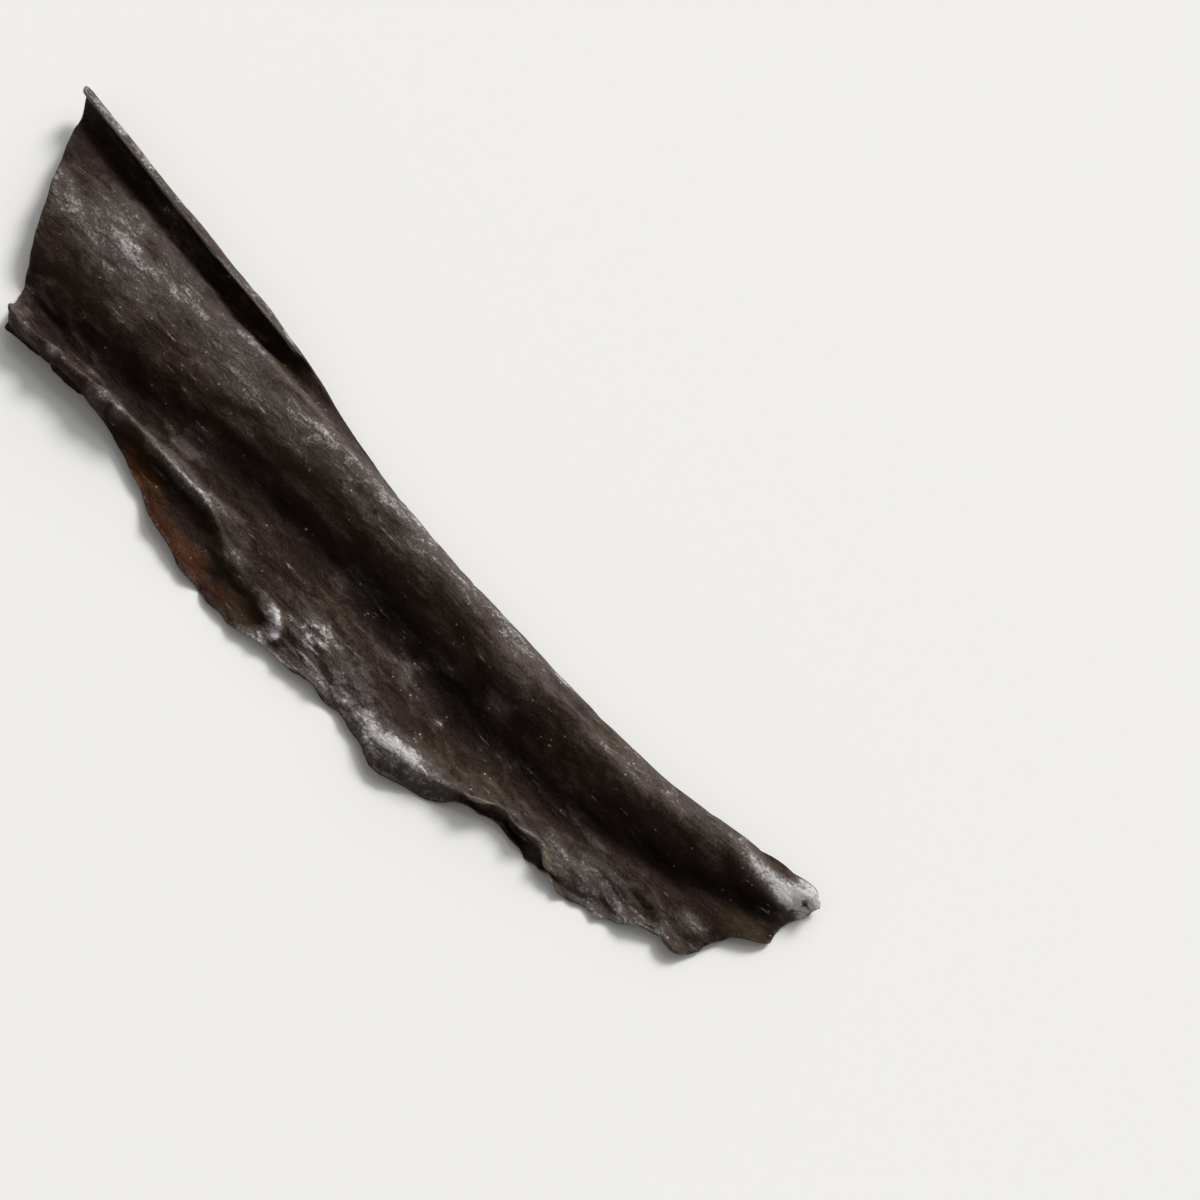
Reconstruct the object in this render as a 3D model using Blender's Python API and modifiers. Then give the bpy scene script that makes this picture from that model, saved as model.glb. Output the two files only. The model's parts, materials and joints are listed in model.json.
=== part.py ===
"""A dried kelp strip: one long leathery blade that has dried into lengthwise folds.

It lies on a flat surface with X running from its cut end to its free end, Y across it and Z up.
Its right side starts as a thin upright lip and turns under into a rounded ridge, a valley runs
beside that, and the left side ends in a lower, thinner flange with a ruffled margin.
"""

import functools
import math

import bmesh
import bpy
import numpy as np
from mathutils import noise

# Sizes are in mm. "Across" is the distance to the right of the strip's own middle line.
MM = 0.001
LENGTH = 350.0

# The dried blade's thickness, and the share of it that is left at its thin left margin.
THICKNESS = 1.3
MARGIN_THICKNESS_SHARE = 0.55
MARGIN_SHARE_OF_WIDTH = 0.4

# The cut end is straight but oblique, so it starts further along the more it is to the left.
CUT_CORNER_ALONG = 3.0
CUT_CORNER_ACROSS = 43.0
CUT_SLANT = 0.61

# The free end is a round arc, whose furthest point is right of the middle line.
END_ACROSS = 24.0
END_ROUNDING = 0.013

# A size that changes along the strip is a row of places: how far along, and the size there.
# The right flank leads, and each of the next stretches is measured across from the one before.
FLANK_ACROSS = ((0, 40), (90, 30), (165, 23), (230, 19), (290, 19), (350, 28))
FLANK_HEIGHT = ((0, 4), (90, 4), (112, 4.6), (138, 8), (154, 7.5), (200, 6.5), (350, 6))
SHOULDER_WIDTH = ((0, 8), (75, 6), (130, 4), (180, 5.5), (250, 7), (310, 6.5), (350, 3.5))
SHOULDER_HEIGHT = ((0, 7.5), (75, 9.5), (130, 11), (180, 13), (250, 13.5), (310, 12), (350, 7.5))
PLATEAU_WIDTH = ((0, 32), (80, 26), (130, 19), (180, 13), (250, 12), (290, 9), (350, 6))
PLATEAU_HEIGHT = ((0, 9), (180, 8.5), (310, 7.5), (350, 6))
SLOPE_WIDTH = ((0, 13), (110, 9), (200, 8), (250, 9), (290, 7), (325, 3.5), (350, 2))
VALLEY_HEIGHT = ((0, 1.8), (110, 1.5), (320, 1.5), (350, 2))
SHELF_WIDTH = ((40, 6.5), (80, 6), (140, 9), (185, 14), (230, 15.5), (265, 9.5), (300, 10), (350, 6))
SHELF_HEIGHT = ((40, 3.5), (150, 3.5), (235, 5), (300, 4), (345, 2))

# The right side's first two lines, measured out from the flank. They stand as a lip that curls
# inwards, narrow and open flat where it ends, and then turn under to make the ridge's side.
EDGE_OUT = ((100, 3.3), (116, 3.8), (127, 4.8), (138, 3.4), (156, 1), (188, -5), (350, -4))
EDGE_HEIGHT = ((100, 11.8), (116, 10), (127, 8), (138, 6), (156, 3), (188, 0.4), (325, 0.4), (350, 1.6))
ROLL_OUT = ((100, 5.8), (116, 4.4), (127, 3.2), (138, 2.2), (156, 1.5), (188, -1.8), (350, -1.4))
ROLL_HEIGHT = ((100, 11), (116, 9), (127, 7.8), (138, 7), (156, 5), (188, 2.2), (325, 2.2), (350, 3))

# The left side is drawn by its crest and its outline. The crest is high at the cut end, sinks
# as the flange opens below it, and rises again to a short fold with a scalloped edge.
CREST_ACROSS = (
    (45, -21.5), (105, -19), (135, -21), (155, -28), (200, -29.5), (229, -34), (255, -26),
    (268, -22), (290, -23), (305, -17.5), (320, -11.5), (345, 5),
)
CREST_HEIGHT = (
    (45, 9.8), (105, 9.5), (147, 5), (205, 4), (243, 6), (262, 6.5), (276, 6), (290, 3), (345, 2.5),
)
FOLD_RISE = (248, 258)
FOLD_FALL = (282, 292)
FOLD_SCALLOP_DEPTH = 1.3
FOLD_SCALLOP_LENGTH = 16.0
FOLD_SCALLOP_AT = 262.0

# The foot is the bottom of the crest's outer side, which is steepest at the fold.
FOOT_WIDTH = (
    (45, 3.8), (95, 4.4), (120, 4.2), (152, 5.5), (180, 4), (207, 3), (232, 2.5), (250, 1.2),
    (286, 1.2), (297, 2.5), (345, 2.5),
)
FOOT_HEIGHT = ((45, 6.5), (83, 6), (107, 2.5), (180, 2.5), (244, 3), (258, 1.6), (345, 2))

# The left outline: straight at first, then a broad lobe, a smaller one, and two short ones.
OUTLINE_ACROSS = (
    (44, -25.5), (85, -24), (100, -27), (130, -37), (157, -40.5), (190, -36.5), (210, -36),
    (228, -40), (240, -37), (256, -27.5), (284, -26.5), (298, -28), (307, -24), (316, -19.5),
    (325, -17.5), (334, -11), (340, -4),
)
OUTLINE_HEIGHT = ((45, 4.5), (82, 4.5), (105, 3), (188, 2), (226, 2.5), (260, 1.5), (345, 1.7))

# The thin left margin rises and falls in uneven ruffles, and its rim is lightly scalloped.
# Unevenness is how far a second, slower wave shifts the first, and how much slower it is.
RUFFLE_START = (90, 120)
RUFFLE_HEIGHT, RUFFLE_LENGTH, RUFFLE_UNEVENNESS = 1.1, 31.0, (0.8, 0.37)
SCALLOP_DEPTH, SCALLOP_LENGTH, SCALLOP_UNEVENNESS = 0.6, 15.0, (1.3, 0.29)

# Hollows and swellings pressed into the blade: along, across, radius and height.
DENTS = (
    (167, -36, 6, -1.3),
    (175, -30, 5, 1.7),
    (200, -24, 7, 0.9),
    (216, -29, 7, 0.9),
    (146, -22, 6, 0.8),
    (132, -30, 7, -0.9),
    (60, 14, 9, 1.0),
    (104, 15, 10, 0.9),
    (300, -9, 8, 0.8),
    (330, -7, 6, 0.9),
)
DENT_SHARPNESS = 2.0

# The shallow uneven crumple left by drying: the size and height of its waves, how far they are
# stretched along the blade, and how strong they are in the middle and what the margin adds.
CRUMPLES = ((19.0, 0.9), (8.0, 0.44))
CRUMPLE_STRETCH = 2.4
CRUMPLE_STRENGTH = 0.6
CRUMPLE_ADDED_AT_MARGIN = 0.6

# The grid of the blade: rows along it, and steps across it between each line and the next. The
# rolled right side has dried smooth, so dents and crumples fade in over the first steps.
ROWS = 92
STEPS_BETWEEN_LINES = (2, 2, 3, 3, 3, 3, 3, 3, 3)
COLUMNS = sum(STEPS_BETWEEN_LINES)
SMOOTH_STEPS = 5
ROUNDS_TO_FIND_ENDS = 20


def eased(stations, values, at):
    """The value of a smooth curve through the given places, one cubic between each two."""
    at = min(max(at, stations[0]), stations[-1])
    slopes = np.gradient(values, stations, axis=0)
    start = min(max(int(np.searchsorted(stations, at)) - 1, 0), len(stations) - 2)
    gap = stations[start + 1] - stations[start]
    part = (at - stations[start]) / gap
    rest = 1.0 - part
    return (
        (1.0 + 2.0 * part) * rest**2 * values[start]
        + part**2 * (3.0 - 2.0 * part) * values[start + 1]
        + part * rest**2 * gap * slopes[start]
        - part**2 * rest * gap * slopes[start + 1]
    )


def size_at(places, along):
    """A size that changes along the strip."""
    stations, sizes = np.array(places, dtype=float).T
    return eased(stations, sizes, along)


def rise(along, span):
    """A soft step from 0 before a stretch of the strip to 1 after it."""
    part = min(max((along - span[0]) / (span[1] - span[0]), 0.0), 1.0)
    return part * part * (3.0 - 2.0 * part)


def right_edge(along):
    across, _ = right_flank(along)
    return across + size_at(EDGE_OUT, along), size_at(EDGE_HEIGHT, along)


def right_roll(along):
    across, _ = right_flank(along)
    return across + size_at(ROLL_OUT, along), size_at(ROLL_HEIGHT, along)


def right_flank(along):
    return size_at(FLANK_ACROSS, along), size_at(FLANK_HEIGHT, along)


def shoulder(along):
    across, _ = right_flank(along)
    return across - size_at(SHOULDER_WIDTH, along), size_at(SHOULDER_HEIGHT, along)


def plateau_rim(along):
    across, _ = shoulder(along)
    return across - size_at(PLATEAU_WIDTH, along), size_at(PLATEAU_HEIGHT, along)


def valley(along):
    across, _ = plateau_rim(along)
    return across - size_at(SLOPE_WIDTH, along), size_at(VALLEY_HEIGHT, along)


def shelf(along):
    across, _ = valley(along)
    return across - size_at(SHELF_WIDTH, along), size_at(SHELF_HEIGHT, along)


def left_crest(along):
    on_fold = rise(along, FOLD_RISE) - rise(along, FOLD_FALL)
    wave = math.cos(2.0 * math.pi * (along - FOLD_SCALLOP_AT) / FOLD_SCALLOP_LENGTH)
    across = size_at(CREST_ACROSS, along) + on_fold * FOLD_SCALLOP_DEPTH * wave
    return across, size_at(CREST_HEIGHT, along)


def left_foot(along):
    across = size_at(CREST_ACROSS, along) - size_at(FOOT_WIDTH, along)
    return across, size_at(FOOT_HEIGHT, along)


def left_edge(along):
    return size_at(OUTLINE_ACROSS, along), size_at(OUTLINE_HEIGHT, along)


LINES = (
    right_edge,
    right_roll,
    right_flank,
    shoulder,
    plateau_rim,
    valley,
    shelf,
    left_crest,
    left_foot,
    left_edge,
)


@functools.cache
def line_ends(line):
    """Where one line meets the oblique cut and the round free end, found by closing in on both."""
    start, end = 0.0, LENGTH
    for _ in range(ROUNDS_TO_FIND_ENDS):
        start = CUT_CORNER_ALONG + CUT_SLANT * (CUT_CORNER_ACROSS - line(start)[0])
        end = LENGTH - END_ROUNDING * (END_ACROSS - line(end)[0]) ** 2
    return start, end


@functools.cache
def section(share):
    """The points of all the lines at a share of the way from the cut end to the free end."""
    points = []
    for line in LINES:
        start, end = line_ends(line)
        along = start + share * (end - start)
        points.append((along, *line(along)))
    return np.array(points)


def across_the_blade(points, step):
    """The point a number of steps across the smooth section drawn over the lines' points."""
    gaps = np.sqrt(np.linalg.norm(np.diff(points, axis=0), axis=1))
    stations = np.concatenate(((0.0,), np.cumsum(gaps)))
    line = 0
    while step > STEPS_BETWEEN_LINES[line]:
        step -= STEPS_BETWEEN_LINES[line]
        line += 1
    at = stations[line] + gaps[line] * step / STEPS_BETWEEN_LINES[line]
    return eased(stations, points, at)


def relief(along, across, margin):
    """The height that dents and crumples add, with the crumple stronger near the left margin."""
    height = 0.0
    for place_along, place_across, radius, lift in DENTS:
        away = math.hypot(along - place_along, across - place_across) / radius
        height += lift * math.exp(-DENT_SHARPNESS * away**2)
    strength = CRUMPLE_STRENGTH + CRUMPLE_ADDED_AT_MARGIN * margin
    for size, depth in CRUMPLES:
        place = (along / size / CRUMPLE_STRETCH, across / size, size)
        height += strength * depth * noise.noise(place)
    return height


def uneven_wave(along, length, unevenness):
    """A wave along the strip whose length varies."""
    shift, slowness = unevenness
    turn = 2.0 * math.pi * along / length
    return math.sin(turn + shift * math.sin(turn * slowness))


def ruffle(along, margin):
    """How far the left margin lifts, and how far its rim moves outwards."""
    grown = margin**2 * rise(along, RUFFLE_START)
    lift = RUFFLE_HEIGHT * (1.0 + uneven_wave(along, RUFFLE_LENGTH, RUFFLE_UNEVENNESS))
    outwards = SCALLOP_DEPTH * uneven_wave(along, SCALLOP_LENGTH, SCALLOP_UNEVENNESS)
    return grown * lift, grown * outwards


def margin_weight(step):
    """How full the blade's thickness is at a step across it, thinning towards its left margin."""
    inside = (1.0 - step / COLUMNS) / MARGIN_SHARE_OF_WIDTH
    return MARGIN_THICKNESS_SHARE + (1.0 - MARGIN_THICKNESS_SHARE) * min(inside, 1.0)


def blade_point(share, step):
    """One point of the blade's upper face, no lower than the blade's own thickness where it lies
    on the ground."""
    along, across, height = across_the_blade(section(share), step)
    margin = max(0.0, 2.0 * step / COLUMNS - 1.0)
    unrolled = min(step / SMOOTH_STEPS, 1.0)
    lift, outwards = ruffle(along, margin)
    height += relief(along, across, margin) * unrolled + lift
    lying = THICKNESS * margin_weight(step) * unrolled
    return along, across - outwards, max(height, lying)


def upper_face(name):
    """The open upper face: a flat grid laid over the lines, split into triangles one way."""
    sheet = bmesh.new()
    bmesh.ops.create_grid(sheet, x_segments=ROWS, y_segments=COLUMNS, size=0.5)
    thickness = sheet.verts.layers.deform.verify()
    for vertex in sheet.verts:
        row = round((vertex.co.x + 0.5) * ROWS)
        step = round((0.5 - vertex.co.y) * COLUMNS)
        vertex.co = [value * MM for value in blade_point(row / ROWS, step)]
        vertex[thickness][0] = margin_weight(step)
    bmesh.ops.triangulate(sheet, faces=sheet.faces, quad_method="FIXED")
    mesh = bpy.data.meshes.new(name)
    sheet.to_mesh(mesh)
    sheet.free()
    return mesh


def thicken(blade):
    """Gives the face its thickness downwards, and keeps the result as the object's mesh."""
    blade.vertex_groups.new(name="thickness")
    solid = blade.modifiers.new("thickness", "SOLIDIFY")
    solid.thickness = THICKNESS * MM
    solid.offset = -1.0
    solid.vertex_group = "thickness"
    graph = bpy.context.evaluated_depsgraph_get()
    mesh = bpy.data.meshes.new_from_object(blade.evaluated_get(graph))
    blade.modifiers.clear()
    blade.data = mesh
    return mesh


def lay_down(mesh):
    """Rests the blade on the ground and centres it there."""
    low = [min(vertex.co[axis] for vertex in mesh.vertices) for axis in range(3)]
    high = [max(vertex.co[axis] for vertex in mesh.vertices) for axis in range(3)]
    for vertex in mesh.vertices:
        vertex.co.x -= (low[0] + high[0]) / 2.0
        vertex.co.y -= (low[1] + high[1]) / 2.0
        vertex.co.z -= low[2]


def kelp_finish():
    """Brown-black dried blade, dull with a little sheen."""
    material = bpy.data.materials.new("dried_kelp")
    material.use_nodes = True
    shader = material.node_tree.nodes["Principled BSDF"]
    shader.inputs["Base Color"].default_value = (0.034, 0.026, 0.020, 1.0)
    shader.inputs["Roughness"].default_value = 0.62
    shader.inputs["Metallic"].default_value = 0.0
    return material


def main():
    for leftover in list(bpy.data.objects):
        bpy.data.objects.remove(leftover)
    collection = bpy.data.collections.new("dried kelp strip")
    bpy.context.scene.collection.children.link(collection)
    blade = bpy.data.objects.new("kelp_strip", upper_face("kelp_strip"))
    collection.objects.link(blade)
    mesh = thicken(blade)
    lay_down(mesh)
    mesh.shade_smooth()
    mesh.materials.append(kelp_finish())


main()
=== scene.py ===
# %% [markdown]
# # A strip of dried kelp
#
# Dried kelp is a leathery blade, brown-black and dull, dusted with the pale crystals that dry out
# of it. This lesson dresses a plain solid of the strip: it refines the mesh, nibbles its margin,
# presses the wrinkles of drying into it, works out where the crystals gather, and paints it all
# with one procedural material.
#
# The solid comes first, because every place below is measured from it.

# %% Load the solid
import json
import math
import random

import bmesh
import bpy
import numpy as np
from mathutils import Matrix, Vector, noise

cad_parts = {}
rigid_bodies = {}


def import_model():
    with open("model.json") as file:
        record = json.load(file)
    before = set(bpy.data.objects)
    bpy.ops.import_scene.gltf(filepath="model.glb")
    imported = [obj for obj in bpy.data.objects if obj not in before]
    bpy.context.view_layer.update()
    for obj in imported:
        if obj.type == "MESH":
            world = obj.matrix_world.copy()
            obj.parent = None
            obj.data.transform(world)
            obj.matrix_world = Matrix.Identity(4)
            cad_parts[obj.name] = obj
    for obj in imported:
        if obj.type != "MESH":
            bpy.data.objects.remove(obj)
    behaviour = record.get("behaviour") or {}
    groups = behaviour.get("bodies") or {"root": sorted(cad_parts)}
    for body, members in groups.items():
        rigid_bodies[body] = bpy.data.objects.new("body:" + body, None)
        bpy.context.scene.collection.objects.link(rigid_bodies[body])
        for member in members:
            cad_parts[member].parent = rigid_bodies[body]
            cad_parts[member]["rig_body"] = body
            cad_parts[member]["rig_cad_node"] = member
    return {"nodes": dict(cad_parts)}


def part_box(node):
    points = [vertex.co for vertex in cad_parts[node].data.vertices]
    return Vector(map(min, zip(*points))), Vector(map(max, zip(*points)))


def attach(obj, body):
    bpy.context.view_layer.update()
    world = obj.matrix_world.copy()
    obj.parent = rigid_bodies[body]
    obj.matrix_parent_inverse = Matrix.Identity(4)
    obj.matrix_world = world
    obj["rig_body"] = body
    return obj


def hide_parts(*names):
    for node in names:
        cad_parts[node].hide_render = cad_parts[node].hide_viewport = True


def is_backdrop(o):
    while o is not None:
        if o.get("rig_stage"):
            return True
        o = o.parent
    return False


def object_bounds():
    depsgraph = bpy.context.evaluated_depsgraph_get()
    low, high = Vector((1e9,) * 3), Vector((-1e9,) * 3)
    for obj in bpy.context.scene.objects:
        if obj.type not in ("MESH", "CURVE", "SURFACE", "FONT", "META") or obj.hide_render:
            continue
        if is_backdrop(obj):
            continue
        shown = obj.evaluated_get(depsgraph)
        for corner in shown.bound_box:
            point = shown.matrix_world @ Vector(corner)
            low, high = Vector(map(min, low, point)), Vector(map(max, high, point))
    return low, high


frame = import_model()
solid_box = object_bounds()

MM = 0.001
low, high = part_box("kelp_strip")
print("solid, mm:", [round(side / MM, 1) for side in high - low])

# %% [markdown]
# ## Places on the strip
#
# A place on the blade is named by how far it lies along the strip from its cut end, and how far
# to the right of its middle line. The middle line isn't the middle of the box, because the
# ruffled side reaches further out than the other.

# %% Name places along and across the strip
CUT_CORNER_ALONG = 1.4
MIDDLE_FROM_RIGHT_SIDE = 46.9


def along_and_across(points):
    """Where points lie on the strip, in mm along it and mm right of its middle line."""
    along = (points[:, 0] - low.x) / MM + CUT_CORNER_ALONG
    across = (points[:, 1] - high.y) / MM + MIDDLE_FROM_RIGHT_SIDE
    return along, across


def soft_step(values, start, end):
    """0 before the start, 1 after the end, and a soft slope between them."""
    part = np.clip((values - start) / (end - start), 0.0, 1.0)
    return part * part * (3.0 - 2.0 * part)


def band(values, start, end, fade):
    """1 from start to end, fading to 0 on both sides."""
    return soft_step(values, start - fade, start) * (1.0 - soft_step(values, end, end + fade))


print("the middle line is at y =", round((high.y / MM - MIDDLE_FROM_RIGHT_SIDE), 1), "mm")

# %% [markdown]
# ## The blade
#
# The solid is made of flat triangles a few millimetres long. A real blade bends smoothly, so a
# copy of it is joined into one skin, its triangles are paired back into squares, and a
# Subdivision Surface rounds them. Two levels give squares under a millimetre wide, fine enough to
# hold real wrinkles.
#
# The rim is where the two faces meet at a sharp turn. It is marked before the rounding, because
# afterwards nothing on the skin is sharp any more. The Subdivision Surface spreads the mark
# softly to both sides.

# %% Copy the solid and mark its rim
MERGE_DISTANCE = 0.00001
RIM_TURN = math.radians(50.0)

bpy.ops.object.select_all(action="DESELECT")
blade = frame["nodes"]["kelp_strip"].copy()
blade.data = blade.data.copy()
blade.name = "kelp_blade"
blade.parent = None
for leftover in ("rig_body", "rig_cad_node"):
    del blade[leftover]
bpy.context.scene.collection.objects.link(blade)
bpy.context.view_layer.objects.active = blade
blade.select_set(True)

bpy.ops.object.mode_set(mode="EDIT")
bpy.ops.mesh.select_all(action="SELECT")
bpy.ops.mesh.remove_doubles(threshold=MERGE_DISTANCE)
bpy.ops.mesh.tris_convert_to_quads(face_threshold=math.pi, shape_threshold=math.pi)
bpy.ops.object.mode_set(mode="OBJECT")

skin = bmesh.new()
skin.from_mesh(blade.data)
on_rim = [
    float(any(edge.calc_face_angle(0.0) > RIM_TURN for edge in vertex.link_edges))
    for vertex in skin.verts
]
skin.free()
mark = blade.data.attributes.new("rim", "FLOAT", "POINT")
mark.data.foreach_set("value", on_rim)
print("vertices on the rim:", int(sum(on_rim)), "of", len(on_rim))

# %% Round it
SUBDIVISIONS = 2

smooth = blade.modifiers.new("smooth", "SUBSURF")
smooth.levels = SUBDIVISIONS
smooth.render_levels = SUBDIVISIONS
bpy.ops.object.modifier_apply(modifier=smooth.name)
print("blade faces:", len(blade.data.polygons))

# %% [markdown]
# ## Reading the skin
#
# Everything below works on all vertices at once. The skin can also be relaxed: each point moves
# to the middle of its neighbours, again and again, until the folds have melted away. What stands
# above its melted twin is a ridge, and what lies below is a hollow.

# %% Read points, directions and ridges
RIDGE_ROUNDS = 90
RIDGE_HEIGHT = 1.2 * MM


def read_vectors(mesh, name):
    """One vector for each vertex."""
    vectors = np.zeros(len(mesh.vertices) * 3)
    mesh.vertices.foreach_get(name, vectors)
    return vectors.reshape(-1, 3)


def relaxed(mesh, vectors, rounds):
    """The vectors after each has become the mean of its neighbours', again and again."""
    edges = np.zeros(len(mesh.edges) * 2, dtype=int)
    mesh.edges.foreach_get("vertices", edges)
    starts, ends = edges.reshape(-1, 2).T
    size = len(vectors)
    count = np.bincount(starts, minlength=size) + np.bincount(ends, minlength=size)
    for _ in range(rounds):
        total = np.empty_like(vectors)
        for axis in range(3):
            total[:, axis] = np.bincount(starts, vectors[ends, axis], size)
            total[:, axis] += np.bincount(ends, vectors[starts, axis], size)
        vectors = total / count[:, None]
    return vectors


mesh = blade.data
points = read_vectors(mesh, "co")
normals = read_vectors(mesh, "normal")
melted = relaxed(mesh, points, RIDGE_ROUNDS)
proud = np.einsum("ij,ij->i", points - melted, normals) / RIDGE_HEIGHT
rim = np.zeros(len(points))
mesh.attributes["rim"].data.foreach_get("value", rim)
print("proud from", round(float(proud.min()), 2), "to", round(float(proud.max()), 2))

# %% [markdown]
# Wrinkles bend both faces of the blade the same way, so that it keeps its thickness. That needs
# one direction for both faces. A normal times its own upward part points the same way on the
# upper face and on the lower one, and it vanishes on the rim, where the neighbours fill it in.

# %% Find the direction across the blade's thickness
SHEET_ROUNDS = 6
FACING_UP = (-0.1, 0.5)

sheet = relaxed(mesh, normals * normals[:, 2:3], SHEET_ROUNDS)
sheet /= np.linalg.norm(sheet, axis=1)[:, None]
upper = soft_step(normals[:, 2], *FACING_UP)
print("share of the skin that faces up:", round(float(upper.mean()), 2))

# %% [markdown]
# ## A nibbled margin
#
# The thin margin has broken away in small bites, three larger ones shape the free end, and the
# tip's corner is drawn round. A bite pushes the blade back from a round place just outside it.
# Points inside the bite land on its edge, and points further off move less, so nothing is cut and
# the rim stays whole.

# %% Bite into the margin and the free end
END_BITES = (
    # where the bite's bottom is, along and across, its outward direction in degrees, its radius
    (346.5, 14.0, -18.0, 5.0),
    (337.3, -3.6, -37.0, 6.5),
    (317.5, -16.6, -60.0, 3.0),
)
BITE_REACH = 2.6
MARGIN_BITES_FROM = 288.0
MARGIN_BITES_TO = 326.0
MARGIN_BITE_RADIUS = (2.0, 3.6)
MARGIN_BITE_DEPTH = (0.3, 0.7)
MARGIN_BITE_SPACING = (5.0, 9.0)
TIP_CENTRE = (344.6, 20.5)
TIP_RADIUS = 5.2
TIP_DIRECTION = math.radians(25.0)
TIP_FACING = (0.2, 0.8)
TIP_FREE_SHARE = 0.6
MARGIN_STATIONS = np.arange(6, 346)
MARGIN_STATION_REACH = 1.2
NEVER_ZERO = 1e-9


def push_back(along, across, centre, radius):
    """Moves places out of a round bite."""
    from_along = along - centre[0]
    from_across = across - centre[1]
    away = np.hypot(from_along, from_across) + NEVER_ZERO
    reach = radius * BITE_REACH
    pushed = np.where(away < reach, radius + away * (reach - radius) / reach, away)
    return centre[0] + from_along * pushed / away, centre[1] + from_across * pushed / away


def round_corner(along, across, centre, radius, direction):
    """Draws the corner that points in one direction softly back onto a circle."""
    from_along = along - centre[0]
    from_across = across - centre[1]
    away = np.hypot(from_along, from_across) + NEVER_ZERO
    facing = (from_along * math.cos(direction) + from_across * math.sin(direction)) / away
    share = soft_step(facing, *TIP_FACING)
    free = TIP_FREE_SHARE * radius
    beyond = np.maximum(away - free, 0.0) / (radius - free)
    rounded = np.minimum(away, free) + (radius - free) * (1.0 - np.exp(-beyond))
    drawn = away + (rounded - away) * share
    return centre[0] + from_along * drawn / away, centre[1] + from_across * drawn / away


along, across = along_and_across(points)
left_margin = np.array(
    [across[np.abs(along - at) < MARGIN_STATION_REACH].min() for at in MARGIN_STATIONS]
)
chance = random.Random(4)
new_along, new_across = round_corner(along, across, TIP_CENTRE, TIP_RADIUS, TIP_DIRECTION)
for bottom_along, bottom_across, direction, radius in END_BITES:
    outward = math.radians(direction)
    centre = (
        bottom_along + math.cos(outward) * radius,
        bottom_across + math.sin(outward) * radius,
    )
    new_along, new_across = push_back(new_along, new_across, centre, radius)

at = MARGIN_BITES_FROM
bites = 0
while at < MARGIN_BITES_TO:
    radius = chance.uniform(*MARGIN_BITE_RADIUS)
    depth = chance.uniform(*MARGIN_BITE_DEPTH)
    edge = np.interp(at, MARGIN_STATIONS, left_margin)
    new_along, new_across = push_back(new_along, new_across, (at, edge - radius + depth), radius)
    at += chance.uniform(*MARGIN_BITE_SPACING)
    bites += 1

points[:, 0] += (new_along - along) * MM
points[:, 1] += (new_across - across) * MM
along, across = new_along, new_across
print("bites along the margin:", bites, "and at the end:", len(END_BITES))

# %% [markdown]
# ## Wrinkles of drying
#
# A drying blade shrinks unevenly. Long wrinkles run along it, finer ones cover the thin side, and
# the margin crumples across. They are real height and not only shading. Creases come from a
# ridged noise: where smooth noise passes through zero, its size has a sharp valley. The noise is
# read at places that are themselves shifted a little by another noise, so that no line is
# straight.

# %% Measure out the wrinkles
CREASES = (
    # size across in mm, stretch along, height in mm, and the share of it on the thick side
    (13.0, 3.5, 1.30, 0.70),
    (6.5, 2.6, 0.90, 0.35),
    (3.2, 2.2, 0.38, 0.25),
)
CREASE_SHARPNESS = 3.0
CREASE_DEPTH = 0.6
# size across in mm, stretch along, and height in mm
CRUMPLE = (6.0, 1.0, 1.0)
CRUMPLE_FROM_MARGIN = (1.0, 13.0)
THIN_SIDE_ACROSS = (-20.0, 9.0)
LANES = (
    # across in mm, half width, height, and where along it ends
    (17.5, 3.0, 0.45, 210.0),
    (12.0, 1.6, -0.35, 190.0),
    (8.0, 2.0, 0.35, 180.0),
    (3.0, 1.4, -0.30, 160.0),
    (-12.0, 1.5, 0.45, 130.0),
    (-15.5, 1.0, -0.35, 140.0),
)
LANES_FROM = 30.0
LANES_FADE = 30.0
# how far places are shifted in mm, then the shifts' size across in mm and stretch along
WARP = (3.0, 25.0, 2.0)
# each pattern reads its own layer of the noise, so that no two of them are alike
CREASE_LAYER_STEP = 9.7
NOISE_LAYERS = {"warp": 3.3, "crumple": 51.0, "swirl": 71.0, "veins": 77.0, "rays": 83.0}


def noise_at(along, across, size, stretch, layer):
    """Smooth noise from -1 to 1 over the strip, longer along it than across."""
    places = np.column_stack((along / (size * stretch), across / size, np.full_like(along, layer)))
    return np.array([noise.noise(place) for place in places])


def ridged(values):
    """Sharp valleys along the lines where smooth noise passes through zero."""
    return np.minimum(np.abs(values) * CREASE_SHARPNESS, 1.0) - CREASE_DEPTH


shift, size, stretch = WARP
lane = across + shift * noise_at(along, across, size, stretch, NOISE_LAYERS["warp"])
from_margin = across - np.interp(along, MARGIN_STATIONS, left_margin)
at_margin = 1.0 - soft_step(from_margin, *CRUMPLE_FROM_MARGIN)
thin_side = 1.0 - soft_step(lane, *THIN_SIDE_ACROSS)

height = np.zeros(len(points))
for layer, (size, stretch, lift, thick_share) in enumerate(CREASES):
    strength = thick_share + (1.0 - thick_share) * thin_side
    valleys = ridged(noise_at(along, lane, size, stretch, layer * CREASE_LAYER_STEP))
    height += valleys * strength * lift
size, stretch, lift = CRUMPLE
height += noise_at(along, lane, size, stretch, NOISE_LAYERS["crumple"]) * lift * at_margin
for middle, half_width, lift, end in LANES:
    lengthwise = band(along, LANES_FROM, end, LANES_FADE)
    height += np.exp(-((lane - middle) / half_width) ** 2) * lift * lengthwise
print("wrinkles from", round(float(height.min()), 2), "to", round(float(height.max()), 2), "mm")
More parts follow.
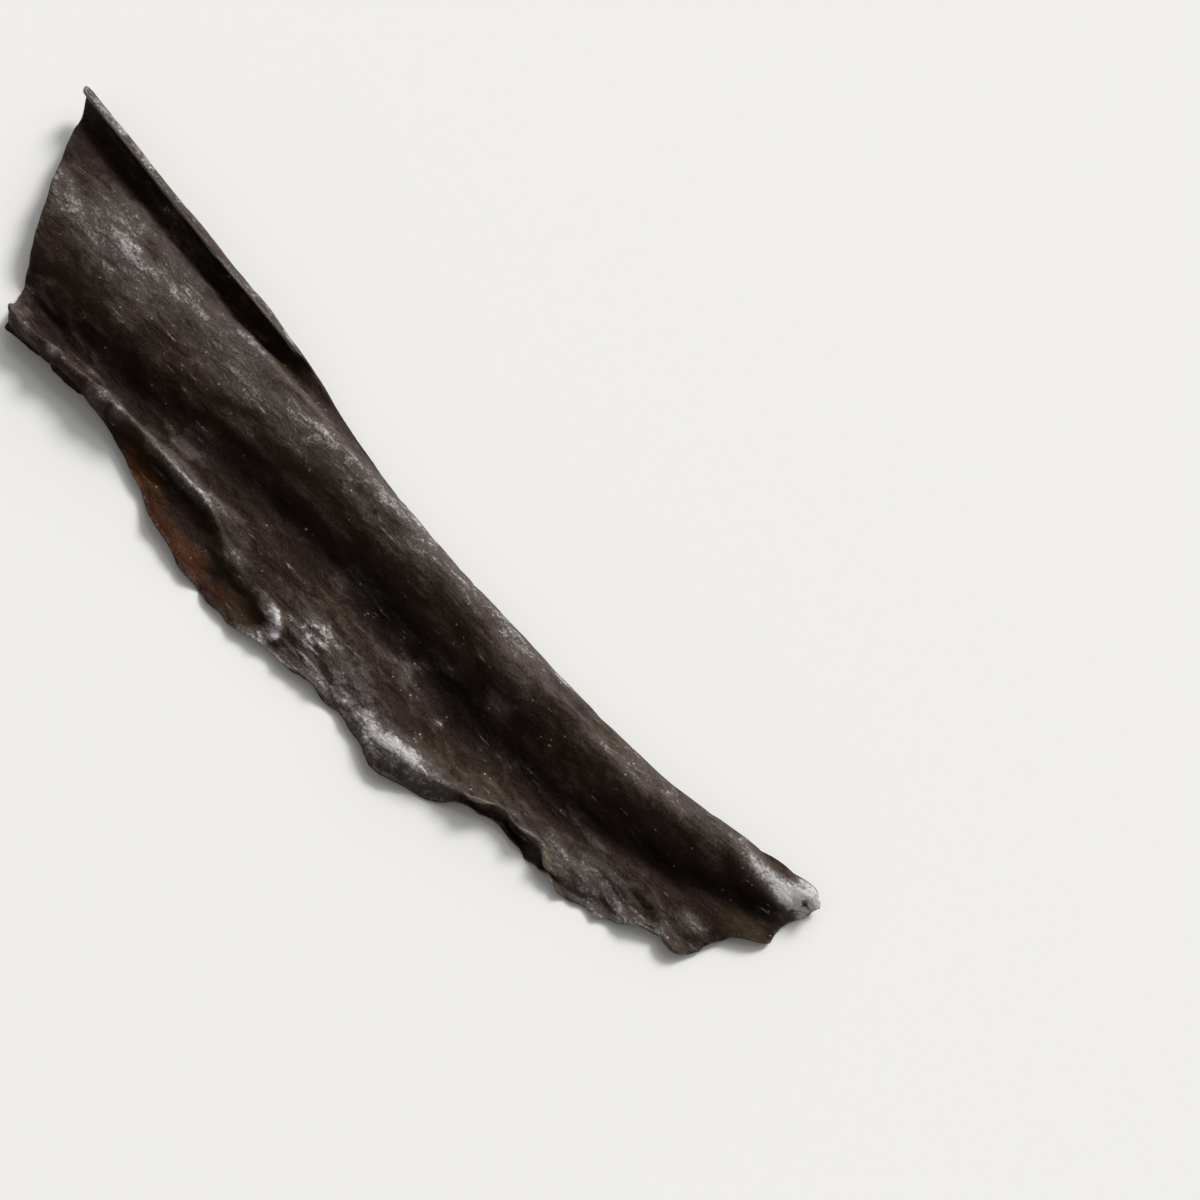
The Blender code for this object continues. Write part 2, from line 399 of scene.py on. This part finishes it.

# %% [markdown]
# ## Marks that belong to this strip
#
# Besides the even wrinkles the strip has its own marks: a dimple with a bright crescent of a rim,
# a web of creases beside it, a raised lip on the fold, a pit near the free end, and a few dents.
# Each is a small shape pressed in one by one, named by its place, its radii and how deep it goes.

# %% Add the marks
MARKS = (
    # along, across, radius along, radius across and height, in mm
    (182.0, -37.0, 5.0, 1.3, 0.7),
    (345.5, 21.0, 1.8, 1.6, -0.8),
    (331.0, 23.5, 6.0, 1.8, -0.8),
    (150.0, -26.0, 5.0, 2.5, 0.6),
    (236.0, -31.0, 9.0, 2.6, 0.6),
    (310.0, -16.0, 9.0, 1.4, -0.6),
    (322.0, -8.0, 9.0, 1.6, 0.6),
    (296.0, -12.0, 10.0, 1.6, 0.5),
    (147.5, -12.5, 9.0, 1.8, 0.7),
    (60.0, -4.0, 14.0, 1.6, -0.5),
    (210.0, -20.0, 14.0, 1.6, -0.5),
)


def bump_at(along, across, place):
    """A smooth round swelling, 1 at its middle."""
    middle_along, middle_across, long, wide = place
    away = ((along - middle_along) / long) ** 2 + ((across - middle_across) / wide) ** 2
    return np.exp(-away)


for *place, lift in MARKS:
    height += bump_at(along, across, place) * lift
print("marks pressed in by hand:", len(MARKS))

# %% Press in the dimple and raise its crescent
DIMPLE = (164.5, -33.5, 12.0, 6.5)
DIMPLE_WALL = (0.2, 1.0)
DIMPLE_DEPTH = 1.1
CRESCENT_ALONG = (167.0, 175.0)
CRESCENT_WIDTH = 0.16
CRESCENT_HEIGHT = 1.3

# the ring is 0 in the middle of the dimple and 1 on its rim
ring = np.hypot((along - DIMPLE[0]) / DIMPLE[2], (across - DIMPLE[1]) / DIMPLE[3])
crescent = np.exp(-(((ring - 1.0) / CRESCENT_WIDTH) ** 2)) * soft_step(along, *CRESCENT_ALONG)
height -= (1.0 - soft_step(ring, *DIMPLE_WALL)) * DIMPLE_DEPTH
height += crescent * CRESCENT_HEIGHT
print("points in the dimple:", int((ring < 1.0).sum()))

# %% Raise the web of creases
WEB = (190.0, -27.0, 17.0, 8.0)
WEB_HEIGHT = 0.8
SWIRL_SIZE = 12.0
SWIRL_SHIFT = 8.0
SWIRL_OPEN = (-0.2, 0.3)
# size across in mm and stretch along
VEINS = (3.6, 1.8)
VEIN_SHARPNESS = 6.0
FAINTEST_VEIN = 0.4

web_area = bump_at(along, across, WEB)
swirl = noise_at(along, across, SWIRL_SIZE, 1.0, NOISE_LAYERS["swirl"])
size, stretch = VEINS
vein_lines = noise_at(along + SWIRL_SHIFT * swirl, across, size, stretch, NOISE_LAYERS["veins"])
veins = 1.0 - np.minimum(np.abs(vein_lines) * VEIN_SHARPNESS, 1.0)
clear = FAINTEST_VEIN + (1.0 - FAINTEST_VEIN) * soft_step(swirl, *SWIRL_OPEN)
veins *= web_area * (1.0 - crescent) * clear
height += veins * WEB_HEIGHT
print("the creases rise by up to", round(float(veins.max()) * WEB_HEIGHT, 2), "mm")

# %% Raise the edge of the fold and move the skin
# where the fold starts, ends and how far it fades, in mm
FOLD_ALONG = (252.0, 287.0, 3.0)
FOLD_ACROSS = (-26.0, -19.0, 1.5)
FOLD_PROUD = (0.75, 1.25)
FOLD_LIP = 0.5
# the length and the height of its ripples in mm
FOLD_RIPPLE = (9.0, 0.5)

length, lift = FOLD_RIPPLE
fold_edge = band(along, *FOLD_ALONG) * band(across, *FOLD_ACROSS)
fold_edge *= soft_step(proud, *FOLD_PROUD)
height += fold_edge * (FOLD_LIP + lift * np.sin(2.0 * math.pi * along / length))

points += sheet * (height * MM)[:, None]
points = np.clip(points, np.array(low), np.array(high))
mesh.vertices.foreach_set("co", points.ravel())
mesh.update()
mesh.shade_smooth()
print("skin moved from", round(float(height.min()), 2), "to", round(float(height.max()), 2), "mm")

# %% [markdown]
# ## Where the crystals gather
#
# The pale bloom is thick along the crest of the strip, on the ridges and on the thin side with its
# margin, and it is missing in the hollows. On the flank between, which faces away from the light,
# it is taken off as painted shade. The flange on the left is bare in places, and light shines
# through it there, so it is painted orange-brown as painted light. These are broad areas, so each
# is kept as one number on every vertex, and the material breaks them up into specks.

# %% Name the patches
BLOOM_PATCHES = (
    # along, across, radius along, radius across and strength
    (92.0, -17.5, 24.0, 2.6, 0.55),
    (122.0, -19.0, 16.0, 3.2, 1.0),
    (150.0, -26.0, 6.0, 3.5, 0.75),
    (181.0, -38.5, 9.0, 1.6, 1.1),
    (205.0, -31.0, 14.0, 4.5, 0.45),
    (222.0, -33.0, 10.0, 4.0, 0.85),
    (238.0, -31.5, 11.0, 4.0, 0.75),
    (344.0, 21.0, 9.0, 5.0, 1.8),
    (331.0, 18.5, 9.0, 2.6, 1.1),
    (290.0, 22.0, 24.0, 3.0, 0.20),
    (43.0, 27.0, 8.0, 5.0, 0.55),
    (240.0, -1.0, 7.0, 3.0, 0.95),
    (230.2, -16.7, 1.3, 1.0, 1.2),
    (324.0, -5.0, 5.0, 3.0, 0.75),
    (300.0, -14.0, 16.0, 5.0, 0.35),
    (285.0, -18.0, 4.0, 2.0, 0.5),
    (298.0, -23.0, 14.0, 4.5, 0.55),
    (184.0, -24.0, 9.0, 4.5, 0.35),
)
BARE_PATCHES = (
    (112.0, -31.0, 26.0, 7.0, 1.2),
    (164.0, -35.0, 9.0, 4.5, 0.6),
    (331.0, 24.0, 7.0, 2.0, 1.0),
    (345.6, 20.6, 2.2, 0.6, 1.3),
    (344.9, 21.0, 0.6, 1.6, 1.3),
    (272.0, -27.5, 14.0, 3.0, 0.7),
    (92.0, 4.0, 18.0, 4.5, 0.30),
    (243.0, -12.0, 22.0, 5.0, 0.25),
    (266.0, 15.5, 14.0, 3.5, 0.35),
    (136.0, -36.0, 16.0, 3.0, 0.30),
    (336.0, 5.0, 8.0, 5.0, 0.35),
)
TRANSLUCENT_PATCHES = (
    (108.0, -27.0, 12.0, 6.0, 0.9),
    (130.0, -35.0, 18.0, 5.0, 1.1),
    (158.0, -37.0, 10.0, 4.0, 0.7),
    (166.0, -33.0, 8.0, 4.0, 0.5),
    (272.0, -26.5, 15.0, 2.6, 0.7),
    (300.0, -25.0, 14.0, 4.5, 0.9),
    (337.0, 4.0, 8.0, 7.0, 0.9),
)
print("bloom patches:", len(BLOOM_PATCHES), "and bare ones:", len(BARE_PATCHES))

# %% Sum patches and keep numbers on the vertices
MOST_KEPT = 2.0


def patches(along, across, places):
    """The sum of soft patches."""
    total = np.zeros(len(along))
    for *place, strength in places:
        total += bump_at(along, across, place) * strength
    return total


def keep(name, values):
    """Stores one number on each vertex under a name that the material reads."""
    stored = mesh.attributes.get(name) or mesh.attributes.new(name, "FLOAT", "POINT")
    kept = np.clip(values, 0.0, MOST_KEPT)
    stored.data.foreach_set("value", kept.astype(np.float32))
    print(name, "is", round(float(kept.mean()), 3), "on average")


keep("translucent", patches(along, across, TRANSLUCENT_PATCHES))

# %% [markdown]
# The lip is paler near its top than on the wall below: frost lies there, together with painted
# light where the top catches the light. So its height is measured station by station. At the dimple
# the bloom spreads like a fan, in rays that run out to the bright crescent.

# %% Measure how far below the lip's top each point is
LIP_STATIONS = np.arange(4, 150)
LIP_STATION_REACH = 1.5
LIP_ACROSS = (22.0, 24.0)
LIP_FADES_ALONG = (145.0, 125.0)

tall = points[:, 2] / MM
on_right = across > LIP_ACROSS[0]
lip_top = np.array(
    [tall[on_right & (np.abs(along - at) < LIP_STATION_REACH)].max() for at in LIP_STATIONS]
)
below_top = np.interp(along, LIP_STATIONS, lip_top) - tall
on_lip = soft_step(along, *LIP_FADES_ALONG) * soft_step(across, *LIP_ACROSS)
print("the lip's top is", round(float(lip_top.mean()), 1), "mm high on average")

# %% Spread the fan by the dimple
FAN_RING = (0.15, 0.95)
FAN_RING_END = (1.05, 1.20)
FAN_ALONG = (161.0, 173.0)
FAN_FROM_MARGIN = (1.0, 4.0)
FAN_AT_MARGIN = 0.4
RAY_DEGREES = 7.0

fan = soft_step(ring, *FAN_RING) * (1.0 - soft_step(ring, *FAN_RING_END))
fan *= soft_step(along, *FAN_ALONG)
fan *= FAN_AT_MARGIN + (1.0 - FAN_AT_MARGIN) * soft_step(from_margin, *FAN_FROM_MARGIN)
around = np.degrees(np.arctan2(across - DIMPLE[1], along - DIMPLE[0]))
rays = noise_at(around, ring, RAY_DEGREES, 1.0, NOISE_LAYERS["rays"])
print("points in the fan:", int((fan > 0.5).sum()))

# %% Keep the bloom
CREST_ACROSS = 17.0
CREST_WIDTH = 6.0
FLANK_ALONG = (50.0, 95.0, 160.0, 250.0, 300.0, 340.0)
FLANK_ACROSS = (-8.0, -6.0, -2.0, -1.0, 3.0, 13.0)
FLANK_WIDTH = 9.0
PROUD_OF_RIDGES = (-0.3, 1.5)
HEIGHT_OF_WRINKLES = (0.3, 1.2)
DUSTY_MARGIN_ALONG = (170.0, 195.0)
LIP_FROST_AND_LIGHT_DEPTH = (4.5, 0.5)
UNDERSIDE_SHARE = 0.3
AMOUNT = {
    "everywhere": 0.12,
    "ridges": 0.22,
    "crest": 0.40,
    # taking bloom off the flank, which faces away from the light, is painted shade
    "flank": -0.42,
    "thin side": 0.06,
    "wrinkles": 0.5,
    "margin": 0.2,
    "fan": 1.5,
    "rays": 1.6,
    "lip": 0.6,
}

crest = np.exp(-(((lane - CREST_ACROSS) / CREST_WIDTH) ** 2))
flank = np.exp(-(((across - np.interp(along, FLANK_ALONG, FLANK_ACROSS)) / FLANK_WIDTH) ** 2))
bloom = AMOUNT["everywhere"] + AMOUNT["ridges"] * soft_step(proud, *PROUD_OF_RIDGES)
bloom += AMOUNT["crest"] * crest
# painted shade: bloom taken off the flank
bloom += AMOUNT["flank"] * flank
bloom += AMOUNT["thin side"] * thin_side
bloom += AMOUNT["wrinkles"] * soft_step(height - crescent * CRESCENT_HEIGHT, *HEIGHT_OF_WRINKLES)
bloom += AMOUNT["margin"] * at_margin * soft_step(along, *DUSTY_MARGIN_ALONG)
spread = fan * (AMOUNT["fan"] + AMOUNT["rays"] * rays)
bloom += patches(along, across, BLOOM_PATCHES) + spread + veins
bloom -= patches(along, across, BARE_PATCHES)
bloom *= UNDERSIDE_SHARE + (1.0 - UNDERSIDE_SHARE) * upper
# frost near the lip's top, with painted light where the top catches the light
bloom += AMOUNT["lip"] * on_lip * soft_step(below_top, *LIP_FROST_AND_LIGHT_DEPTH)
keep("bloom", bloom)

# %% Keep the painted shade of the hollows and the flank, and the orange of the flange
HOLLOW_DEPTH = (0.1, 1.3)
FLANK_SHADE = 0.6
ORANGE_ALONG = (90.0, 146.0, 20.0)
FAINT_ORANGE_ALONG = (292.0, 318.0, 10.0)
FAINT_ORANGE = 0.5

# painted shade: darker in the hollows and on the flank, which faces away from the light
keep("hollow", soft_step(-proud, *HOLLOW_DEPTH) + FLANK_SHADE * flank)
keep("orange", band(along, *ORANGE_ALONG) + FAINT_ORANGE * band(along, *FAINT_ORANGE_ALONG))

# %% [markdown]
# The rim itself is painted pale: a painted highlight where the edge catches the light. It is
# clearest on the upright lip, where the blade's edge stands against the dark gutter, and along the
# scalloped edge of the fold.

# %% Keep the rim
RIM_REACH = (0.40, 0.85)
RIM_DEPTH = (1.7, 0.8)
HIGHLIGHT_ELSEWHERE = 0.35
HIGHLIGHT_ON_FOLD = 0.9

# painted highlight where the rim's edge catches the light, clearest on the lip's top and the fold
rim_highlight = soft_step(rim, *RIM_REACH)
rim_highlight *= on_lip * soft_step(below_top, *RIM_DEPTH) + (1.0 - on_lip) * HIGHLIGHT_ELSEWHERE
keep("rim", rim_highlight + fold_edge * HIGHLIGHT_ON_FOLD)

# %% [markdown]
# ## Shader sums as plain sums
#
# A material is a net of nodes, and arithmetic in it takes a Math node for each step. The two
# small classes below let the material be written as ordinary Python: a value from one node can be
# added to or multiplied by another, and each operation quietly adds its node.

# %% Write shader maths as Python
class Value:
    """A number that varies over the surface, the output of some node."""

    def __init__(self, finish, socket):
        self.finish = finish
        self.socket = socket

    def combined(self, operation, first, second):
        """The output of a Math node that takes two values or numbers."""
        return self.finish.node("ShaderNodeMath", {"operation": operation}, {0: first, 1: second})

    def __add__(self, other):
        return self.combined("ADD", self, other)

    def __sub__(self, other):
        return self.combined("SUBTRACT", self, other)

    def __rsub__(self, other):
        return self.combined("SUBTRACT", other, self)

    def __mul__(self, other):
        return self.combined("MULTIPLY", self, other)

    __radd__ = __add__
    __rmul__ = __mul__


class Finish:
    """A material under construction."""

    def __init__(self, name):
        self.material = bpy.data.materials.new(name)
        self.material.use_nodes = True
        self.tree = self.material.node_tree
        self.shader = self.tree.nodes["Principled BSDF"]

    def give(self, socket, value):
        """Links a value to a socket, or sets a constant on it."""
        if isinstance(value, Value):
            self.tree.links.new(value.socket, socket)
        else:
            socket.default_value = value

    def node(self, kind, settings, sockets, output=0):
        """Adds a node with its settings, then feeds its sockets, and gives one of its outputs."""
        made = self.tree.nodes.new(kind)
        for name, setting in settings.items():
            setattr(made, name, setting)
        for name, value in sockets.items():
            self.give(made.inputs[name], value)
        return Value(self, made.outputs[output])

    def noise(self, place, size, detail=3.0, roughness=0.55, bend=0.0):
        """Cloudy noise from 0 to 1 whose clouds are about the given size in mm."""
        sockets = {"Vector": place, "Scale": 1.0 / (size * MM), "Detail": detail}
        sockets["Roughness"] = roughness
        sockets["Distortion"] = bend
        return self.node("ShaderNodeTexNoise", {}, sockets)

    def cells(self, place, size, output=0):
        """A pattern of irregular cells of the given size in mm."""
        sockets = {"Vector": place, "Scale": 1.0 / (size * MM)}
        return self.node("ShaderNodeTexVoronoi", {"feature": "F1"}, sockets, output)

    def between(self, value, start, end):
        """0 below the start, 1 above the end, and a soft slope between them."""
        settings = {"interpolation_type": "SMOOTHSTEP"}
        return self.node("ShaderNodeMapRange", settings, {0: value, 1: start, 2: end})

    def size_of(self, value):
        """The value without its sign."""
        return self.node("ShaderNodeMath", {"operation": "ABSOLUTE"}, {0: value})

    def painted(self, under, over, amount):
        """One colour painted over another. A Mix node's colour sockets are numbers 6 and 7."""
        settings = {"data_type": "RGBA", "blend_type": "MIX"}
        return self.node("ShaderNodeMix", settings, {0: amount, 6: under, 7: over}, output=2)

    def stored(self, name):
        """A number kept on the vertices."""
        return self.node("ShaderNodeAttribute", {"attribute_name": name}, {}, output=2)


finish = Finish("dried_kelp_blade")
print("a new finish starts with", len(finish.tree.nodes), "nodes")

# %% [markdown]
# ## The finish of dried kelp
#
# Under everything is a brown-black skin, a little redder and lighter in places. The crystals come
# as a grey bloom: a thin even dust, thicker cloudy patches, and sharp white specks and fibres.
# Each layer is one mask and one colour, painted over the last.

# %% Choose the colours
SKIN = (0.0195, 0.0094, 0.0050, 1.0)
SKIN_WARM = (0.0440, 0.0220, 0.0120, 1.0)
# the colour of the painted shade in the hollows and on the flank
HOLLOW_SHADE_COLOUR = (0.0102, 0.0042, 0.0018, 1.0)
# orange and olive: painted light shining through the thin flange
ORANGE_DARK = (0.0340, 0.0085, 0.0008, 1.0)
ORANGE_LIT_THROUGH = (0.0600, 0.0205, 0.0048, 1.0)
OLIVE_LIT_THROUGH = (0.0330, 0.0195, 0.0078, 1.0)
DUST = (0.094, 0.074, 0.062, 1.0)
BLOOM = (0.300, 0.268, 0.262, 1.0)
WHITE_SALT = (0.600, 0.570, 0.560, 1.0)
# the rim's painted highlight, beige with olive glints
RIM_HIGHLIGHT_BEIGE = (0.220, 0.190, 0.160, 1.0)
RIM_HIGHLIGHT_OLIVE = (0.135, 0.110, 0.060, 1.0)
print("the salt is", round(WHITE_SALT[0] / SKIN[0]), "times as bright as the bare skin")

# %% Lay out the patterns
STRETCHED = (0.45, 1.0, 1.0)
STREAKY = (0.07, 1.0, 1.0)
THREAD_WIDTH = 0.020
SALT_CELL = 1.1

# output 3 of Texture Coordinate is the place on the object itself
place = finish.node("ShaderNodeTexCoord", {}, {}, output=3)
stretched = finish.node("ShaderNodeMapping", {}, {"Vector": place, "Scale": STRETCHED})
streaky = finish.node("ShaderNodeMapping", {}, {"Vector": place, "Scale": STREAKY})

clouds = finish.noise(stretched, size=13.0, detail=4.0)
mottle = finish.noise(stretched, size=4.5, detail=6.0, roughness=0.68, bend=0.6)
grains = finish.noise(place, size=1.1, detail=4.0, roughness=0.72, bend=0.3)
fibres = finish.noise(streaky, size=1.4, detail=2.0, roughness=0.6)
vein_noise = finish.noise(stretched, size=4.2, detail=3.0, roughness=0.6, bend=1.2)
thread = finish.between(finish.size_of(vein_noise - 0.5), THREAD_WIDTH, 0.0)
salt_size = finish.cells(place, SALT_CELL)
salt_luck = finish.cells(place, SALT_CELL, output=1)
print("nodes with the patterns:", len(finish.tree.nodes))

# %% Paint the skin
WARM_SPOTS = (0.72, 1.05)
ORANGE_SPOTS = (0.42, 0.62)
THIN_EDGE = (0.25, 0.85)
HOLLOW_SHADE_COVER = 0.8

warm = finish.between(mottle + clouds * 0.6, *WARM_SPOTS)
colour = finish.painted(SKIN, SKIN_WARM, warm)
# painted shade: the skin is darkened in the hollows and on the flank
colour = finish.painted(colour, HOLLOW_SHADE_COLOUR, finish.stored("hollow") * HOLLOW_SHADE_COVER)
# painted light: the thin flange is painted orange-brown and olive, as light shining through it
orange = finish.painted(ORANGE_DARK, ORANGE_LIT_THROUGH, finish.between(mottle, *ORANGE_SPOTS))
lit_through = finish.painted(OLIVE_LIT_THROUGH, orange, finish.stored("orange"))
thin = finish.between(finish.stored("translucent") + (mottle - 0.5) * 1.2, *THIN_EDGE)
colour = finish.painted(colour, lit_through, thin)
print("nodes with the skin:", len(finish.tree.nodes))

# %% [markdown]
# Each layer of crystals starts where its own sum of the patterns passes a first number, and is
# full where it passes a second. A third number says how well the layer covers what is under it.
# The patterns lie around 0.5, so with 0.5 taken off they thin a layer as often as they thicken it.

# %% Dust it with crystals
DUST_EDGE = (0.05, 0.80)
DUST_COVER = 0.80
PATCH_EDGE = (0.68, 1.10)
PATCH_COVER = 0.55

thickness = finish.stored("bloom") + (clouds - 0.5) * 1.2 + (mottle - 0.5) * 1.5
streaked = thickness + (fibres - 0.5) * 0.4 + (grains - 0.5) * 0.7
dust = finish.between(streaked, *DUST_EDGE)
colour = finish.painted(colour, DUST, dust * DUST_COVER)
patch = finish.between(streaked + (grains - 0.5) + (mottle - 0.5) * 1.2, *PATCH_EDGE)
colour = finish.painted(colour, BLOOM, patch * PATCH_COVER)
print("nodes with the dust:", len(finish.tree.nodes))

# %% Add fibres and threads
FIBRE_EDGE = (0.70, 0.76)
FIBRE_COVER = 0.8
BREAK_EDGE = (0.66, 0.90)
THREAD_EDGE = (0.15, 0.9)
THREAD_COVER = 0.5

fibre = finish.between(fibres + thickness * 0.05, *FIBRE_EDGE)
broken = finish.between(grains + mottle * 0.6, *BREAK_EDGE)
colour = finish.painted(colour, BLOOM, fibre * broken * FIBRE_COVER)
threads = thread * finish.between(thickness, *THREAD_EDGE) * broken
colour = finish.painted(colour, BLOOM, threads * THREAD_COVER)
print("nodes with the fibres:", len(finish.tree.nodes))

# %% Add white specks and crusts
LUCK_EDGE = (0.95, 1.05)
SPECK_EDGE = (0.40, 0.16)
SPECK_COVER = 0.48
CRUST_EDGE = (1.10, 1.75)
CRUST_COVER = 0.88

lucky = finish.between(salt_luck + (mottle - 0.5) * 1.5 + thickness * 0.15, *LUCK_EDGE)
speck = finish.between(salt_size + (grains - 0.5) * 0.9, *SPECK_EDGE) * lucky
colour = finish.painted(colour, WHITE_SALT, speck * SPECK_COVER)
crust = finish.between(streaked + (grains - 0.5) * 1.4 + (mottle - 0.5) * 1.5, *CRUST_EDGE)
colour = finish.painted(colour, WHITE_SALT, crust * CRUST_COVER)
print("nodes with the specks:", len(finish.tree.nodes))

# %% Paint a highlight on the rim
OLIVE_SPOTS = (0.5, 0.62)
RIM_EDGE = (0.30, 0.65)
RIM_COVER = 0.9

# painted highlight along the rim: beige with olive glints
rim_highlight_colour = finish.painted(RIM_HIGHLIGHT_BEIGE, RIM_HIGHLIGHT_OLIVE, finish.between(mottle, *OLIVE_SPOTS))
rim_highlight_line = finish.between(finish.stored("rim") + (grains - 0.5) * 0.8, *RIM_EDGE)
colour = finish.painted(colour, rim_highlight_colour, rim_highlight_line * RIM_COVER)
finish.give(finish.shader.inputs["Base Color"], colour)
print("nodes with the rim:", len(finish.tree.nodes))

# %% [markdown]
# Bare skin has a low leathery sheen, and the crystals are quite dull. Both show in the bumps as
# well: the specks stand a little proud, the fibres run along the blade, and a fine grain breaks
# the surface.

# %% Set the sheen and the fine bumps
BARE_ROUGHNESS = 0.50
DUSTED_ROUGHER_BY = 0.30
UNEVEN_BY = 0.15
SHINE = 0.11
BUMP_STRENGTH = 0.9
BUMP_DISTANCE = 0.75 * MM

covered = dust * 0.6 + patch * 0.4
roughness = covered * DUSTED_ROUGHER_BY + BARE_ROUGHNESS + (mottle - 0.5) * UNEVEN_BY
finish.give(finish.shader.inputs["Roughness"], roughness)
finish.give(finish.shader.inputs["Specular IOR Level"], SHINE)
relief = grains * 0.6 + fibres * 0.3 + mottle * 1.8 + thread * 0.25 + speck * 0.2 + patch * 0.3
bumps = finish.node(
    "ShaderNodeBump",
    {},
    {"Strength": BUMP_STRENGTH, "Distance": BUMP_DISTANCE, "Height": relief},
)
finish.give(finish.shader.inputs["Normal"], bumps)
print("nodes with the bumps:", len(finish.tree.nodes))

# %% Put the finish on the blade
blade.data.materials.clear()
blade.data.materials.append(finish.material)
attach(blade, "root")
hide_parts("kelp_strip")
print("finishes on the blade:", [material.name for material in blade.data.materials])

# %% [markdown]
# ## Camera, light and floor
#
# The strip lies on a plain pale surface and is seen from above and from its ruffled side. The light
# comes from the upper right, so the right side of each ridge is pale and the hollows fall into
# deep shade. It is made of a narrow sun that draws the wrinkles, a wide one that softens the
# shadow on the floor, and a dim white sky.

# %% Set up the camera
FRAME_CENTRE_ALONG = 235.0
FRAME_CENTRE_ACROSS = 45.0
TURN = math.radians(46.0)
ELEVATION = math.radians(70.0)
DISTANCE = 1.0
LENS = 100.0
SENSOR = 36.0

aim = Vector(
    (
        low.x + (FRAME_CENTRE_ALONG - CUT_CORNER_ALONG) * MM,
        high.y + (FRAME_CENTRE_ACROSS - MIDDLE_FROM_RIGHT_SIDE) * MM,
        0.0,
    )
)
look = Vector(
    (
        -math.sin(TURN) * math.cos(ELEVATION),
        math.cos(TURN) * math.cos(ELEVATION),
        -math.sin(ELEVATION),
    )
)
camera_data = bpy.data.cameras.new("camera")
camera_data.lens = LENS
camera_data.sensor_width = SENSOR
camera = bpy.data.objects.new("camera", camera_data)
camera.location = aim - look * DISTANCE
camera.rotation_euler = look.to_track_quat("-Z", "Y").to_euler()
bpy.context.scene.collection.objects.link(camera)
bpy.context.scene.camera = camera
print("camera at", [round(value, 3) for value in camera.location])

# %% Set up the light
SUNS = (
    # name, where it stands in the camera's own directions, its power and its width in degrees
    ("window", (0.8, 0.95, 0.47), 2.70, 18.0),
    ("wide_window", (1.0, 1.1, 0.25), 1.95, 85.0),
)
SKY_POWER = 0.27

bpy.context.view_layer.update()
sideways, upwards, backwards = (camera.matrix_world.to_3x3().col[axis] for axis in range(3))
for name, (to_right, to_top, to_camera), power, width in SUNS:
    from_sun = sideways * to_right + upwards * to_top + backwards * to_camera
    sun_data = bpy.data.lights.new(name, "SUN")
    sun_data.energy = power
    sun_data.angle = math.radians(width)
    sun = bpy.data.objects.new(name, sun_data)
    sun.location = aim + from_sun
    sun.rotation_euler = (-from_sun).to_track_quat("-Z", "Y").to_euler()
    bpy.context.scene.collection.objects.link(sun)
    print(name, "from", [round(value, 2) for value in from_sun.normalized()])

sky = bpy.data.worlds.new("sky")
sky.use_nodes = True
sky.node_tree.nodes["Background"].inputs["Color"].default_value = (1.0, 1.0, 1.0, 1.0)
sky.node_tree.nodes["Background"].inputs["Strength"].default_value = SKY_POWER
bpy.context.scene.world = sky
bpy.context.scene.view_settings.view_transform = "Standard"

# %% Lay the floor
FLOOR_SIZE = 8.0
FLOOR_COLOUR = (0.84, 0.83, 0.80, 1.0)
FLOOR_ROUGHNESS = 0.9

bpy.ops.object.select_all(action="DESELECT")
bpy.ops.mesh.primitive_plane_add(size=FLOOR_SIZE, location=(0.0, 0.0, low.z))
floor = bpy.context.object
floor.name = "floor"
floor_finish = Finish("pale_floor")
floor_finish.give(floor_finish.shader.inputs["Base Color"], FLOOR_COLOUR)
floor_finish.give(floor_finish.shader.inputs["Roughness"], FLOOR_ROUGHNESS)
floor.data.materials.append(floor_finish.material)
floor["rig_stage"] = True
print("the floor lies at z =", round(low.z / MM, 2), "mm")

# %% [markdown]
# ## The size of the dressed strip
#
# The dressed strip must not outgrow its solid, so both boxes are written side by side.

# %% Write both boxes
bpy.context.view_layer.update()
dressed_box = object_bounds()
for name, (lowest, highest) in (("solid", solid_box), ("dressed", dressed_box)):
    print(name, [round(side / MM, 1) for side in highest - lowest])
